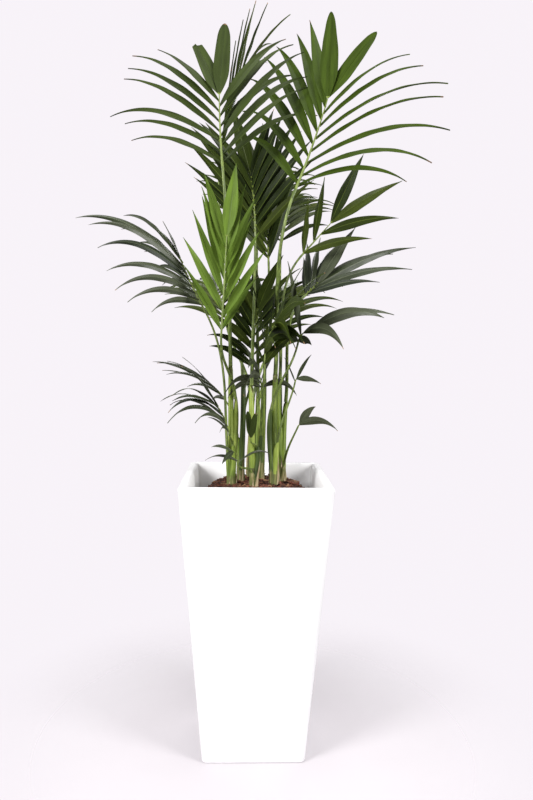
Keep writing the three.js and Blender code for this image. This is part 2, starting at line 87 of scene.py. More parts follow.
FRONDS = {
    "upper_left": grow(
        "left_front", 330, (-93, -137, 1563), (-103, -121, 1745), (-0.19, 0.9, 0.35), -0.04,
        pairs=8, spread=(50, 34), lean=5, reach=327, uneven=-0.12, first=0.88, last=0.57,
        end=0.5, lift=0.08, droop=0.98, wide=23, broad=1.6, seed=25),
    "upper_right": grow(
        "right_front", 310, (92, -124, 1515), (175, -77, 1758), (0.53, 0.62, 0.26), -0.03,
        pairs=8, spread=(57, 29), lean=-5, reach=397, uneven=0.08, first=0.84, last=0.54,
        end=0.54, lift=-0.02, droop=0.9, wide=32, broad=1.45, fork=0.65, tone="mid", seed=12),
    "top_rear": grow(
        "left_rear", 300, (-107, 92, 1646), (-54, 125, 1889), (0.86, 0.06, 0.48), 0.06, pairs=7,
        spread=(33, 20), lean=1, reach=315, uneven=0.13, first=0.88, last=0.73, end=0.81, lift=0,
        droop=0.94, wide=16, broad=1.3, seed=3),
    "near_left": grow(
        "left_front", 240, (-93, -153, 1144), (-81, -152, 1390), (0.03, 0.9, 0.3), 0.1, pairs=7,
        spread=(30, 9), lean=1, reach=222, uneven=0.03, first=0.9, last=0.9, end=0.86, lift=0.25,
        droop=0.49, wide=28, broad=1.2, tone="fresh", seed=7),
    "left": grow(
        "left_front", 80, (-145, -57, 1218), (-204, -78, 1344), (0.51, -0.24, 0.74), -0.04,
        pairs=8, spread=(51, 17), lean=3, reach=251, uneven=-0.06, first=0.72, last=1.3,
        end=0.46, lift=-0.32, droop=1.15, wide=20, broad=1.2, tone="cool", seed=17),
    "low_left": grow(
        "left_rear", 130, (-86, 43, 961), (-136, 32, 1014), (0.09, -0.08, 0.97), 0.08, pairs=5,
        spread=(54, -4), lean=-5, reach=190, uneven=-0.1, first=0.58, last=1.06, end=0.64,
        lift=-0.08, droop=0.76, wide=14, broad=1.1, tone="cool", seed=27),
    "lowest_left": grow(
        "left_front", 110, (-73, -65, 881), (-102, -107, 957), (0.34, -0.07, 0.79), 0.12,
        pairs=5, spread=(28, -10), lean=-1, reach=212, uneven=-0.02, first=0.36, last=0.84,
        end=1.08, lift=-0.36, droop=1.47, wide=13, broad=1.1, tone="cool", seed=38),
    "right": grow(
        "right_rear", 290, (119, -12, 1365), (201, 21, 1459), (-0.28, -0.77, 0.49), 0, pairs=3,
        spread=(36, 39), lean=3, reach=229, uneven=-0.03, first=0.84, last=1, end=1.01,
        lift=0.11, droop=0.49, wide=30, broad=1.1, seed=47),
    "mid_right": grow(
        "right_rear", 230, (129, -27, 1256), (163, -3, 1289), (-0.34, -0.77, 0.53), -0.03,
        pairs=5, spread=(37, 15), lean=-7, reach=300, uneven=0.1, first=0.64, last=0.56,
        end=0.63, lift=0.09, droop=0.61, wide=26, broad=1.4, tone="cool", seed=7),
    "low_right": grow(
        "right_front", 210, (107, -83, 1128), (136, -91, 1161), (-0.52, -0.72, 0.42), 0.3,
        pairs=3, spread=(64, 12), lean=-2, reach=188, first=0.3, last=0.79, end=1.24, lift=0.38,
        droop=1.43, wide=30, broad=1.1, tone="cool", seed=53),
    "centre": grow(
        "middle_rear", 290, (31, 66, 1357), (27, 128, 1545), (-0.08, -0.89, 0.3), -0.07, pairs=9,
        spread=(27, 4), lean=-5, reach=262, uneven=0.05, first=0.99, last=0.8, end=0.8,
        lift=0.14, droop=0.15, wide=30, broad=1.2, seed=5),
    "upper_middle": grow(
        "middle_front", 280, (-8, 10, 1400), (-24, 50, 1600), (0.1, -0.9, 0.4), 0.1, pairs=8,
        spread=(42, 22), reach=270, first=0.9, last=0.8, end=0.7, lift=0.05, droop=0.5, wide=31,
        broad=1.2, seed=12),
    "inner_left": grow(
        "left_rear", 190, (-10, 30, 1050), (0, 20, 1220), (0.3, -0.8, 0.5), 0.05, pairs=7,
        spread=(50, 26), reach=190, uneven=0.12, first=0.9, last=0.8, end=0.8, lift=0.1,
        droop=1.1, wide=27, broad=1.1, seed=13),
    "inner_right": grow(
        "middle_front", 200, (20, -60, 1060), (52, -115, 1185), (-0.6, -0.4, 0.6), 0.3, pairs=7,
        spread=(50, 34), reach=200, first=0.9, last=0.8, end=1, lift=0, droop=1.3, wide=30,
        broad=1.4, seed=14),
    "upper_rear": grow(
        "middle_rear", 240, (0, 170, 1450), (10, 330, 1640), (0, -0.7, 0.7), 0.1, pairs=11,
        spread=(46, 14), reach=300, first=0.7, last=0.8, end=0.7, lift=0.05, droop=1, wide=20,
        broad=1.6, seed=15),
    "rear_right": grow(
        "rear", 230, (50, 190, 1150), (100, 345, 1290), (-0.2, -0.6, 0.7), 0.15, pairs=9,
        spread=(52, 16), reach=260, first=0.7, last=0.8, end=0.9, lift=0.05, droop=1, wide=22,
        broad=1.6, seed=16),
    "rear_left": grow(
        "rear", 260, (-90, 170, 1180), (-130, 325, 1300), (0.2, -0.6, 0.7), 0.15, pairs=9,
        spread=(52, 16), reach=250, first=0.7, last=0.8, end=0.9, lift=0.05, droop=1, wide=22,
        broad=1.6, seed=17),
    "upper_rear_right": grow(
        "right_rear", 180, (70, 160, 1420), (85, 310, 1570), (-0.1, -0.6, 0.7), 0.15, pairs=10,
        spread=(50, 16), reach=230, first=0.7, last=0.8, end=0.8, lift=0.05, droop=1, wide=20,
        broad=1.6, seed=18),
    "low_middle": grow(
        "middle_rear", 130, (14, 0, 1000), (4, -22, 1045), (0, -0.5, 0.8), 0.2, pairs=4,
        spread=(60, 20), reach=150, first=0.8, last=0.9, end=0.9, lift=-0.1, droop=2.4, wide=25,
        broad=1.1, tone="cool", seed=19),
    "short_right": grow(
        "right_front", 120, (102, -64, 1022), (105, -71, 1031), (-0.32, -0.68, 0.22), 0.15,
        pairs=2, spread=(51, 46), lean=6, reach=98, uneven=0.04, first=0.79, last=0.9, end=1.06,
        lift=-0.08, droop=0.89, wide=12, broad=1.2, tone="cool", seed=43),
    "seedling_right": grow(
        "right_rear", 45, (113, -52, 901), (116, -55, 906), (-0.2, -0.95, 0.16), 0.1, pairs=1,
        spread=(40, 34), lean=1, reach=120, uneven=0.25, first=1, last=1, end=1.04, lift=0.1,
        droop=1.72, wide=15, broad=1.4, tone="cool", seed=33),
    "seedling_left": grow(
        "middle_front", 40, (-47, -98, 809), (-60, -111, 840), (0.43, -0.4, 0.72), 0.41, pairs=2,
        spread=(56, 55), lean=-8, reach=92, uneven=0.01, first=1.14, last=1, end=0.82,
        lift=-0.08, droop=1.19, wide=11, broad=1.3, tone="cool", seed=36),
    "young": grow(
        "middle_front", 110, (-15, -75, 864), (-15, -78, 872), (0, 1, 0.2), 0, pairs=1,
        spread=(20, 20), reach=76, first=1, last=1, end=1, lift=0, droop=0.2, wide=12, broad=1.3,
        seed=22),
}

# How a leaflet gives way to a neighbour: lift, angle and length.
GIVES = [
    (0, 0, 1), (0.14, 0, 1), (-0.14, 0, 1), (0, 6, 1), (0, -6, 1), (0.3, 0, 0.95),
    (-0.3, 0, 0.95), (0.14, 7, 0.8), (-0.14, -7, 0.8), (0.1, 0, 0.65), (-0.1, 0, 0.65),
    (0, 0, 0.5),
]


# ---- Plain geometry ----
def unit(v):
    return v / np.maximum(np.linalg.norm(v, axis=-1, keepdims=True), 1e-9)


def lerp(a, b, t):
    return a + (b - a) * t


def bezier(points, t):
    """A bezier curve of any order at each share in t."""
    layer = [np.outer(np.ones_like(t), p) for p in points]
    while len(layer) > 1:
        layer = [a + (b - a) * t[:, None] for a, b in zip(layer, layer[1:])]
    return layer[0]


def smooth_path(points, t):
    """A Catmull-Rom spline through points, at each share in t of their count."""
    last = len(points) - 1
    padded = np.vstack([2 * points[0] - points[1], points, 2 * points[-1] - points[-2]])
    where = np.clip(t * last, 0, last - 1e-6)
    i = where.astype(int)
    f = (where - i)[:, None]
    a, b, c, d = (padded[i + k] for k in range(4))
    return 0.5 * (
        2 * b + (c - a) * f + (2 * a - 5 * b + 4 * c - d) * f**2
        + (3 * b - a - 3 * c + d) * f**3
    )


def dealer(seed):
    """The source's repeatable draw of numbers from 0 to 1."""
    mask = 0xFFFFFFFF
    state = seed & mask

    def draw():
        nonlocal state
        state = (state + 0x6D2B79F5) & mask
        mixed = ((state ^ (state >> 15)) * (state | 1)) & mask
        mixed ^= (mixed + (((mixed ^ (mixed >> 7)) * (mixed | 61)) & mask)) & mask
        return ((mixed ^ (mixed >> 14)) & mask) / 4294967296

    return draw


def carried(way, first):
    """A direction across a path, carried along it without twist from its last point."""
    across = np.empty_like(way)
    now = first
    for i in range(len(way) - 1, -1, -1):
        now = unit(now - way[i] * (now @ way[i]))
        across[i] = now
    return across


class Sculpt:
    """Gathers closed skins of points into one mesh with material slots and UVs."""

    def __init__(self, name):
        self.name = name
        self.points, self.uvs, self.faces, self.slots = [], [], [], []
        self.count = 0

    def skin(self, rings, slots, uvs=None, strips=False):
        """rings: (rows, count, 3). slots: one number, or (rows - 1, count) numbers. strips
        closes the ends with quads between a flat section's two faces."""
        rows, count = rings.shape[:2]
        index = np.arange(rows * count).reshape(rows, count)
        right = np.roll(index, -1, axis=1)
        quads = np.stack([index[:-1], right[:-1], right[1:], index[1:]], axis=-1).reshape(-1, 4)
        faces = quads.tolist()
        kinds = np.broadcast_to(slots, (rows - 1, count)).reshape(-1).tolist()
        for row in (0, -1):
            ring = index[row].tolist()
            cap = [ring]
            if strips:
                cap = [[ring[j], ring[j + 1], ring[count - 2 - j], ring[count - 1 - j]]
                       for j in range(count // 2 - 1)]
            faces += [face[::-1] for face in cap] if row == 0 else cap
            kinds += [kinds[0]] * len(cap)
        points = rings.reshape(-1, 3)
        a, b, c, d = (points[quads[:, k]] - points.mean(axis=0) for k in range(4))
        volume = np.einsum("ij,ij->", a, np.cross(b, c) + np.cross(c, d))
        if volume < 0:
            faces = [face[::-1] for face in faces]
        self.points.append(points)
        self.uvs.append(np.zeros((len(points), 2)) if uvs is None else uvs.reshape(-1, 2))
        self.faces += [[self.count + v for v in face] for face in faces]
        self.slots += kinds
        self.count += len(points)

    def build(self, materials, sharp=50):
        mesh = bpy.data.meshes.new(self.name)
        mesh.from_pydata((np.concatenate(self.points) * MM).tolist(), [], self.faces)
        for material in materials:
            mesh.materials.append(material)
        mesh.polygons.foreach_set("material_index", self.slots)
        mesh.polygons.foreach_set("use_smooth", [True] * len(self.faces))
        corners = np.empty(len(mesh.loops), dtype=np.int32)
        mesh.loops.foreach_get("vertex_index", corners)
        layer = mesh.uv_layers.new(name="grain")
        layer.data.foreach_set("uv", (np.concatenate(self.uvs) * MM)[corners].ravel())
        mesh.set_sharp_from_angle(angle=math.radians(sharp))
        piece = bpy.data.objects.new(self.name, mesh)
        bpy.context.scene.collection.objects.link(piece)
        return piece


# ---- Materials ----
class Shader:
    """One principled material whose colour, roughness and relief come from nodes."""

    def __init__(self, name, rough=0.5, specular=0.5):
        self.material = bpy.data.materials.new(name)
        self.material.use_nodes = True
        self.tree = self.material.node_tree
        self.shader = self.tree.nodes["Principled BSDF"]
        self.shader.inputs["Roughness"].default_value = rough
        self.shader.inputs["Specular IOR Level"].default_value = specular

    def node(self, kind, **settings):
        """A node with its settings. A socket among them is linked, and a value is set."""
        made = self.tree.nodes.new("ShaderNode" + kind)
        for key, value in settings.items():
            if hasattr(made, key):
                setattr(made, key, value)
            elif isinstance(value, bpy.types.NodeSocket):
                self.link(value, made.inputs[key])
            else:
                made.inputs[key].default_value = value
        return made

    def link(self, source, target):
        self.tree.links.new(source, target)

    def coordinates(self, kind, scale):
        texture = self.node("TexCoord")
        mapping = self.node("Mapping", Vector=texture.outputs[kind], Scale=scale)
        return mapping.outputs["Vector"]

    def noise(self, where, scale=1.0, detail=3.0, roughness=0.55):
        made = self.node("TexNoise", Vector=where, Scale=scale, Detail=detail,
                         Roughness=roughness)
        return made.outputs["Fac"]

    def spread(self, factor, start=0.0, stop=1.0, low=0.0, high=1.0, blend="LINEAR"):
        """factor, with its range from start to stop spread from low to high."""
        made = self.node("MapRange", interpolation_type=blend, Value=factor, **{
            "From Min": start, "From Max": stop, "To Min": low, "To Max": high})
        return made.outputs["Result"]

    def colour(self, factor, stops):
        made = self.node("ValToRGB", Fac=factor)
        elements = made.color_ramp.elements
        while len(elements) < len(stops):
            elements.new(0.5)
        for element, (place, colour) in zip(elements, stops):
            element.position = place
            element.color = (*colour, 1)
        self.link(made.outputs["Color"], self.shader.inputs["Base Color"])

    def roughness(self, factor, low, high):
        self.link(self.spread(factor, low=low, high=high), self.shader.inputs["Roughness"])

    def relief(self, *layers):
        """layers: (height, strength, depth in metres), the coarsest first."""
        normal = None
        for height, strength, depth in layers:
            made = self.node("Bump", Strength=strength, Distance=depth, Height=height)
            if normal:
                self.link(normal, made.inputs["Normal"])
            normal = made.outputs["Normal"]
        self.link(normal, self.shader.inputs["Normal"])


def shade(colour, share):
    return tuple(min(1.0, c * share) for c in colour)


def leaf_material(name, colour, rough, gloss=0.2, vary=0.3, veins=0.5):
    """Leaf tissue: soft blotches, fine veins along the blade and a satin cuticle."""
    made = Shader(name, specular=gloss)
    along = made.coordinates("UV", (90, 9, 1))
    blotch = made.noise(along, detail=4)
    made.colour(blotch, [
        (0.3, shade(colour, 1 - vary)), (0.52, colour), (0.72, shade(colour, 1 + vary)),
    ])
    made.roughness(made.noise(along, scale=2.3, detail=2), rough - 0.07, rough + 0.09)
    veining = made.node("TexWave", wave_type="BANDS", bands_direction="X", Scale=130,
                        Vector=made.coordinates("UV", (1, 0.03, 1)), Distortion=1.2, Detail=1)
    made.relief((blotch, 0.15, 0.0006), (veining.outputs["Fac"], veins, 0.00018))
    return made.material


def stem_material(name, low, middle, high, rough, grain=(260, 260, 7), fleck=None):
    """Stalks and sheaths: streaks along the stem, with fine ribs and sparse scurf."""
    made = Shader(name)
    coarse = made.noise(made.coordinates("Object", grain), detail=4, roughness=0.6)
    made.colour(coarse, [(0.3, low), (0.5, middle), (0.7, high)])
    if fleck:
        spots = made.noise(made.coordinates("Object", (420, 420, 190)), detail=2)
        base = made.shader.inputs["Base Color"]
        mixer = made.node("Mix", data_type="RGBA", Factor=made.spread(spots, 0.62, 0.7),
                          A=base.links[0].from_socket, B=(*fleck, 1))
        made.link(mixer.outputs["Result"], base)
    fine = made.noise(made.coordinates("Object", (900, 900, 22)), detail=2)
    made.roughness(fine, rough - 0.06, rough + 0.12)
    made.relief((coarse, 0.3, 0.0005), (fine, 0.35, 0.0002))
    return made.material


def chip_material(name, colour, rough=0.9):
    """Bark chips and compost: rough, fibrous and dull."""
    made = Shader(name, specular=0.2)
    coarse = made.noise(made.coordinates("Object", (120, 120, 120)), detail=5, roughness=0.65)
    made.colour(coarse, [
        (0.3, shade(colour, 0.45)), (0.5, colour), (0.7, shade(colour, 1.6)),
    ])
    fine = made.noise(made.coordinates("Object", (700, 700, 700)), detail=4)
    made.roughness(fine, rough - 0.15, rough + 0.08)
    made.relief((coarse, 0.6, 0.0015), (fine, 0.5, 0.0005))
    return made.material


LEAF_KINDS = ("leaf_a", "leaf_b", "leaf_c", "underside")
# Greens in linear light, in the order of LEAF_KINDS, and how strongly each tone shines.
# The third upper green (leaf_c) is dealt most to the inner fronds, as painted shade.
GREENS = {
    "deep": [(0.025, 0.038, 0.004), (0.042, 0.058, 0.008), (0.016, 0.026, 0.004),
             (0.033, 0.049, 0.009)],
    "mid": [(0.038, 0.065, 0.003), (0.060, 0.096, 0.005), (0.022, 0.040, 0.003),
            (0.038, 0.063, 0.006)],
    "fresh": [(0.078, 0.142, 0.007), (0.225, 0.310, 0.055), (0.032, 0.064, 0.005),
              (0.095, 0.155, 0.018)],
    "cool": [(0.031, 0.041, 0.017), (0.060, 0.070, 0.039), (0.018, 0.026, 0.012),
             (0.050, 0.061, 0.034)],
}
GLOSS = {"deep": 0.14, "mid": 0.06, "fresh": 0.14, "cool": 0.32}

# Stems and dry parts in linear light: the low, the middle and the high of their streaks, and
# how rough they are.
STEMS = {
    "rib_green": ((0.10, 0.14, 0.025), (0.17, 0.225, 0.045), (0.27, 0.33, 0.085), 0.42),
    "stalk_green": ((0.035, 0.058, 0.010), (0.11, 0.155, 0.028), (0.27, 0.34, 0.085), 0.42),
    "sheath_green": ((0.055, 0.090, 0.008), (0.135, 0.200, 0.020), (0.29, 0.37, 0.06), 0.38),
    "sheath_pale": ((0.12, 0.18, 0.02), (0.26, 0.34, 0.05), (0.42, 0.48, 0.12), 0.38),
    "sheath_deep": ((0.018, 0.034, 0.005), (0.045, 0.075, 0.010), (0.11, 0.16, 0.025), 0.38),
    "sheath_foot": ((0.055, 0.055, 0.015), (0.12, 0.14, 0.03), (0.32, 0.27, 0.12), 0.6),
    "dry_husk": ((0.22, 0.15, 0.08), (0.46, 0.36, 0.21), (0.68, 0.60, 0.42), 0.8),
}
STEM_MARKS = {"stalk_green": dict(fleck=(0.045, 0.04, 0.018)),
              "dry_husk": dict(grain=(400, 400, 12))}
# The bark's browns in linear light, and how often each is found in the chips.
BARKS = {
    "bark_red": ((0.16, 0.055, 0.035), 0.36),
    "bark_dark": ((0.05, 0.022, 0.016), 0.3),
    "bark_tan": ((0.28, 0.15, 0.08), 0.1),
    "bark_umber": ((0.10, 0.042, 0.025), 0.24),
}


def make_materials():
    """Every material by its name, and each tone's leaf materials by tone and kind."""
    made = {}
    for tone, colours in GREENS.items():
        gloss = GLOSS[tone]
        for kind, colour in zip(LEAF_KINDS, colours):
            rough = 0.5 if kind == "underside" else 0.38
            made[tone, kind] = leaf_material(f"{tone}_{kind}", colour, rough, gloss)
        vein = shade(colours[1], 1.6)
        made[tone, "vein"] = leaf_material(f"{tone}_vein", vein, 0.45, gloss, veins=0.2)
    made["leaf_joint"] = leaf_material("leaf_joint", (0.17, 0.22, 0.04), 0.45, veins=0.2)
    made["dry_tip"] = leaf_material("dry_tip", (0.20, 0.12, 0.06), 0.7, vary=0.35)
    for name, look in STEMS.items():
        made[name] = stem_material(name, *look, **STEM_MARKS.get(name, {}))
    for name, (colour, _) in BARKS.items():
        made[name] = chip_material(name, colour)
    made["mix"] = chip_material("potting_mix_soil", (0.045, 0.018, 0.012), 0.95)
    return made


# ---- The rule of the plant ----
def sheath_turns(cane):
    x, y = CANES[cane]

    def bearing(frond):
        return math.atan2(frond.collar[1] - y, frond.collar[0] - x)

    own = [(name, frond) for name, frond in FRONDS.items() if frond.cane == cane]
    own.sort(key=lambda entry: entry[1].sheath)
    first = bearing(own[0][1])
    free = [first + 2 * math.pi * place / len(own) for place in range(len(own))]
    turns = []
    for name, frond in own:
        free.sort(key=lambda turn: -math.cos(turn - bearing(frond)))
        turns.append((name, free.pop(0)))
    return turns


def paths(name, turn):
    """The control points of one frond's sheath, stalk and rib."""
    frond = FRONDS[name]
    centre = np.array([*CANES[frond.cane], 0.0])
    out = np.array([math.cos(turn), math.sin(turn), 0.0])
    foot = centre + CANE.gather * out + UP * (MIX.crown + SEAT)
    neck = centre + CANE.open * out + UP * (MIX.crown + frond.sheath)
    collar, crest = frond.collar, frond.crest
    away = unit(unit(collar - neck) + UP)
    third = frond.sheath / 3
    sheath = [foot, foot + UP * third, neck - away * third, neck]
    axis = crest - collar
    length = np.linalg.norm(axis)
    bow = UP - unit(axis) * (UP @ unit(axis))
    if np.linalg.norm(bow) > 0.05:
        bow = unit(bow) * frond.arch * length
    middle = (collar + crest) / 2 + bow
    heading = unit(middle - collar)
    start = neck + away * SEAT
    run = np.linalg.norm(collar - start)
    stalk = [start, start + away * STALK.rise * run,
             collar - heading * STALK.finish * run, collar]
    rib = [collar + heading * SEAT, middle, crest]
    return sheath, stalk, rib


def stalk_thick(frond):
    return STALK.slim + STALK.per_reach * frond.reach


def length_share(frond, along):
    if along < LONGEST:
        return lerp(frond.first, 1, math.sin(along / LONGEST * math.pi / 2))
    return 1 - (1 - frond.last) * ((along - LONGEST) / (1 - LONGEST)) ** 1.5


def leaflets(frond, rib):
    """Every leaflet of a frond, by the source's rule and draws."""
    draw = dealer(frond.seed)
    face = unit(frond.face)
    last = frond.pairs - 1
    grown = []
    for pair in range(frond.pairs):
        for side in (-1, 1):
            is_end = pair == last
            along = pair / last if last else 1
            shift = side * VARIETY.stagger / last if pair and not is_end else 0
            place = lerp(RIB.bare, 1, min(1, max(0, along + shift)))
            root = bezier(rib, np.array([place]))[0]
            ends = bezier(rib, np.array([max(0, place - 1e-4), min(1, place + 1e-4)]))
            forward = unit(ends[1] - ends[0])
            across = unit(np.cross(forward, face))
            up = np.cross(across, forward)
            a, b, c, d = draw(), draw(), draw(), draw()
            angle = lerp(*frond.spread, along) * (frond.fork if is_end else 1)
            share = frond.end if is_end else (
                length_share(frond, along) * (1 + (b - 0.5) * VARIETY.length))
            grown.append(Named(
                root=root, forward=forward, across=across * side, up=up, side=side, is_end=is_end,
                angle=angle + (a - 0.5) * VARIETY.angle + side * frond.lean,
                lift=frond.lift * (1 + (c - 0.5) * VARIETY.arch) + (c - 0.5) * VARIETY.lift,
                droop=frond.droop * (1 + (d - 0.5) * VARIETY.droop)
                * (END.droop if is_end else 1),
                length=frond.reach * share * (1 + side * frond.uneven),
                width=frond.wide * lerp(*WIDTHS, along) * (frond.broad if is_end else 1),
                roll=math.radians(side * ROLL * (END.roll if is_end else 1)),
            ))
    return grown


def middle_line(leaf, lift, angle, share):
    turn = math.radians(leaf.angle + angle)
    heading = unit(leaf.forward * math.cos(turn) + leaf.across * math.sin(turn)
                   + leaf.up * (leaf.lift + lift))
    bend = leaf.droop * math.hypot(heading[0], heading[1])
    t = (np.arange(LEAFLET.steps) + 0.5) / LEAFLET.steps
    ways = unit(heading - UP * (bend * t ** LEAFLET.bend)[:, None])
    steps = ways * (leaf.length * share / LEAFLET.steps)
    return np.vstack([leaf.root, leaf.root + np.cumsum(steps, axis=0)])


def ridge_height(leaf, t):
    return LEAFLET.ridge * leaf.length * (1 - LEAFLET.flatten * t)


def rolled(side, way, roll):
    return side * np.cos(roll) + np.cross(way, side) * np.sin(roll)


def ridge_points(leaf, line):
    """Points of a leaflet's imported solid: the fold at its two inner stations, and its tip."""
    found = [line[-1]]
    for s in LEAFLET.stations:
        way = unit(line[s + 1] - line[s - 1])
        side = rolled(unit(np.cross(way, leaf.up)), way, leaf.roll)
        high = ridge_height(leaf, s / LEAFLET.steps)
        found.append(line[s] + np.cross(side, way) * high)
    return found


def packed_line(leaf, solid, near=1.5):
    """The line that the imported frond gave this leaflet, or None where it was left out."""
    best = None
    for give in GIVES:
        line = middle_line(leaf, *give)
        miss = max(solid.find_nearest(Vector(p * MM))[3] for p in ridge_points(leaf, line))
        if best is None or miss < best[0] - 1e-5:
            best = (miss, line)
    return best[1] if best[0] < near * MM else None


# ---- Leaflets ----
# joint: the share that is its pale root. swell: how thick that root is and where it ends.
# thin and edge: how much thinner the tip and the edges are. twist: how far the end turns,
# in radians. wave: the edge's waves, by height and length. dry: a dry end's odds and share.
BLADE = Named(
    rows=34, bunch=0.4, thick=0.55, thin=0.45, edge=0.55, joint=0.014, swell=0.8,
    swell_end=0.02, twist=0.22, fold=1.15, keel=0.4, wave=(0.3, 0.9), wave_length=(9, 15),
    pleats=3, pleat=0.05, dry_odds=0.45, dry=(0.015, 0.06))
PATCH = 900  # each leaflet reads its own place in a noise this wide
UNDERSIDE, VEIN, JOINT, DRY, RIB_SLOT = range(3, 8)  # slots 0 to 2 are the upper greens
ACROSS = np.array([-1, -0.8, -0.56, -0.3, -0.08, 0, 0.08, 0.3, 0.56, 0.8, 1.0])
BROAD = np.array([-1, -0.88, -0.76, -0.64, -0.52, -0.4, -0.28, -0.16, -0.05, 0,
                  0.05, 0.16, 0.28, 0.4, 0.52, 0.64, 0.76, 0.88, 1.0])

# A tip's width as a share of the leaflet's, how late the blade narrows to it, how much of
# the length is rounded off, how far the end slants, and how deep its teeth are.
TIPS = {
    "point": Named(end=0.02, late=1.6, cap=0.0, slant=0.0, notch=0.0),
    "round": Named(end=0.7, late=1.9, cap=0.2, slant=0.0, notch=0.0),
    "blunt": Named(end=0.66, late=1.4, cap=0.03, slant=0.05, notch=0.02),
    "lance": Named(end=0.42, late=1.7, cap=0.14, slant=0.0, notch=0.0),
}
# The tips of the last pair, by side: (-1, 1).
END_TIPS = {
    "upper_left": ("round", "blunt"),
    "upper_right": ("lance", "lance"),
    "young": ("round", "round"),
}


def width_share(t, tip):
    root, full, taper = LEAFLET.root, LEAFLET.full, LEAFLET.taper
    rise = root + (1 - root) * np.sin(np.clip(t / full, 0, 1) * math.pi / 2)
    past = np.clip((t - taper) / (1 - taper), 0, 1)
    fall = 1 - (1 - tip.end) * past ** tip.late
    fall = fall * (1 - 0.3 * past * (1 - tip.end))
    if tip.cap:
        capped = np.clip((t - 1 + tip.cap) / tip.cap, 0, 1)
        fall = fall * np.sqrt(np.maximum(1 - capped**2, 0.004))
    return np.minimum(rise, np.maximum(fall, 0.02))


def add_leaflet(sculpt, leaf, line, rng, tip, odds):
    """One folded blade: fine veins, a raised midrib, wavy edges and its own kind of tip."""
    rows, length = BLADE.rows, leaf.length
    s = np.linspace(0, 1, rows + 1)
    t = lerp(s, (1 - np.cos(math.pi * s)) / 2, BLADE.bunch)
    column = t[:, None]
    belly = np.sin(math.pi * column)
    u = BROAD if leaf.is_end else ACROSS
    half = (leaf.width / 2 * width_share(t, tip))[:, None]
    # Points across lie at their own share of the line, so that a tip can end on a slant.
    lag = tip.slant * (u * leaf.side + 1) / 2
    lag = lag + tip.notch * np.abs(((u * 2.5) % 1) - 0.5)
    share = column * (1 - lag * column**5)
    path = smooth_path(line, share.ravel()).reshape(rows + 1, len(u), 3)
    way = unit(np.gradient(smooth_path(line, t), axis=0))
    roll = leaf.roll + rng.normal(0, BLADE.twist) * column**1.5
    side = rolled(unit(np.cross(way, leaf.up)), way, roll)
    top = np.cross(side, way)
    high = ridge_height(leaf, column) * (1 - np.abs(u) ** BLADE.fold)
    wave = rng.uniform(*BLADE.wave) * np.sin(
        column * length / rng.uniform(*BLADE.wave_length) + np.sign(u) * rng.uniform(0, 3))
    high = high + wave * np.abs(u) ** 3 * belly
    high[:, len(u) // 2] += BLADE.keel * (1 - 0.8 * t)
    if leaf.is_end:
        pleat = np.abs(((np.abs(u) * BLADE.pleats) % 1) - 0.5) * 2 - 0.5
        high = high + BLADE.pleat * half * pleat * belly
    upper = path - side[:, None] * (half * u)[..., None] + top[:, None] * high[..., None]
    swell = BLADE.swell * np.exp(-((column / BLADE.swell_end) ** 2))
    thick = BLADE.thick * (1 - BLADE.thin * column) + swell
    lower = upper - top[:, None] * (thick * (1 - BLADE.edge * np.abs(u)))[..., None]
    rings = np.concatenate([upper, lower[:, ::-1]], axis=1)
    run = column * length + rng.uniform(0, PATCH)
    uv = np.stack(np.broadcast_arrays(half * u + rng.uniform(0, PATCH), run), axis=-1)
    uvs = np.concatenate([uv, uv[:, ::-1]], axis=1)
    count = len(u)
    slots = np.full((rows, 2 * count), UNDERSIDE)
    # Each leaflet's upper green is drawn by its frond's odds, which carry the painted shade of
    # the inner fronds.
    slots[:, : count - 1] = rng.choice(3, p=odds)
    slots[:, count // 2 - 1 : count // 2 + 1] = VEIN
    slots[t[:-1] < BLADE.joint] = JOINT
    if rng.random() < BLADE.dry_odds:
        slots[t[:-1] > 1 - rng.uniform(*BLADE.dry)] = DRY
    sculpt.skin(rings, slots, uvs, strips=True)


CHANNEL_WIDE = 0.45  # a stem's channel, as a share of its radius


def tube_rings(path, across, radius, sides, channel=0.0, flat=1.0):
    """Rings round a path. channel hollows the side that looks along the frond's top."""
    way = unit(np.gradient(path, axis=0))
    across = unit(across - way * np.einsum("ij,ij->i", across, way)[:, None])
    top = np.cross(across, way)
    turn = 2 * math.pi * np.arange(sides) / sides
    x, y = np.cos(turn), np.sin(turn) * flat
    y = y - channel * np.exp(-((x / CHANNEL_WIDE) ** 2)) * (y > 0)
    radius = np.broadcast_to(radius, (len(path),))[:, None, None]
    return (path[:, None] + across[:, None] * radius * x[None, :, None]
            + top[:, None] * radius * y[None, :, None])


SHORT = 195  # cool fronds with shorter leaflets than this are nearly all one green
# INNER and OUTER also set the painted shade that gives the inner fronds' leaflets the darkest
# green.
INNER, OUTER = 60, 220  # how far out a crest is where the greens start and stop to change


def tone_and_shade_odds(frond):
    """The odds of a frond's three upper greens, with painted shade on the inner fronds."""
    if frond.tone == "fresh":
        return (0.45, 0.18, 0.37)
    if frond.tone == "cool" and frond.reach < SHORT:
        return (0.15, 0.8, 0.05)
    # Painted light and shade: crests far from the axis get more of the lighter green, near ones
    # more of the darkest.
    out = (math.hypot(*frond.crest[:2]) - INNER) / (OUTER - INNER)
    out = min(0.9, max(0.25, out))
    return (0.4, 0.6 * out, 0.6 * (1 - out))


# into: how far a stem runs into the one before it.
RIB_LOOK = Named(rows=36, sides=12, channel=0.55, into=1.5, slim=0.8)
STALK_LOOK = Named(rows=56, sides=16, channel=0.38, flat=0.94, into=4, swell=0.12)
SHEATH_LOOK = Named(
    rows=40, sides=22, ribs=11, rib=0.18, bulb=0.1, close=0.72, drop=0.1, lip=0.1, throat=4,
    foot=(12, 60), torn=7, odds=(0.45, 0.3, 0.25))
HUSK = Named(
    rows=16, columns=9, heights=(26, 60, 125), odds=(0.45, 0.35, 0.2), vary=(0.6, 1.3),
    most=0.7, least=3, half_turn=(0.25, 0.8), lift=3.5, thick=0.4)


